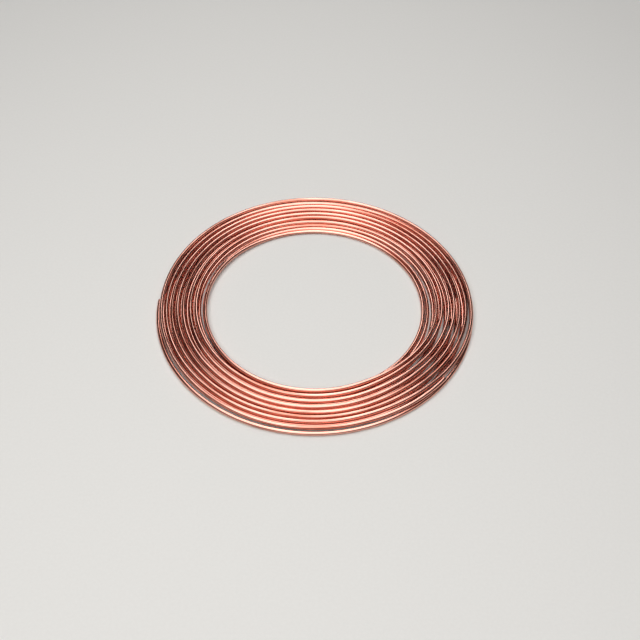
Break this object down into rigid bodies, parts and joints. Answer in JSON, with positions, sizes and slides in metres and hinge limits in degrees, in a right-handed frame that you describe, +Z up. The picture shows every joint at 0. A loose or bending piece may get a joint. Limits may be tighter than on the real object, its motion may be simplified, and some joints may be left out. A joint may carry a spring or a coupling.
{
  "type": "copper tube coil",
  "caption": "Flat coil of thin soft copper tube, wound in layers from a single length, lying on its side with its open ends free at the outside.",
  "frame": {"origin": "on the coil's axis, at the floor it lies on", "axes": "+Z up along the coil's axis, +X and +Y in the plane of the floor; the upper free end stands towards +X and -Y, the lower one towards -X"},
  "size_m": [0.4769, 0.477, 0.0121],
  "materials": {
    "copper": "bright annealed copper, drawn smooth"
  },
  "bodies": {
    "root": {"tube_coil": "copper"}
  },
  "joints": []
}
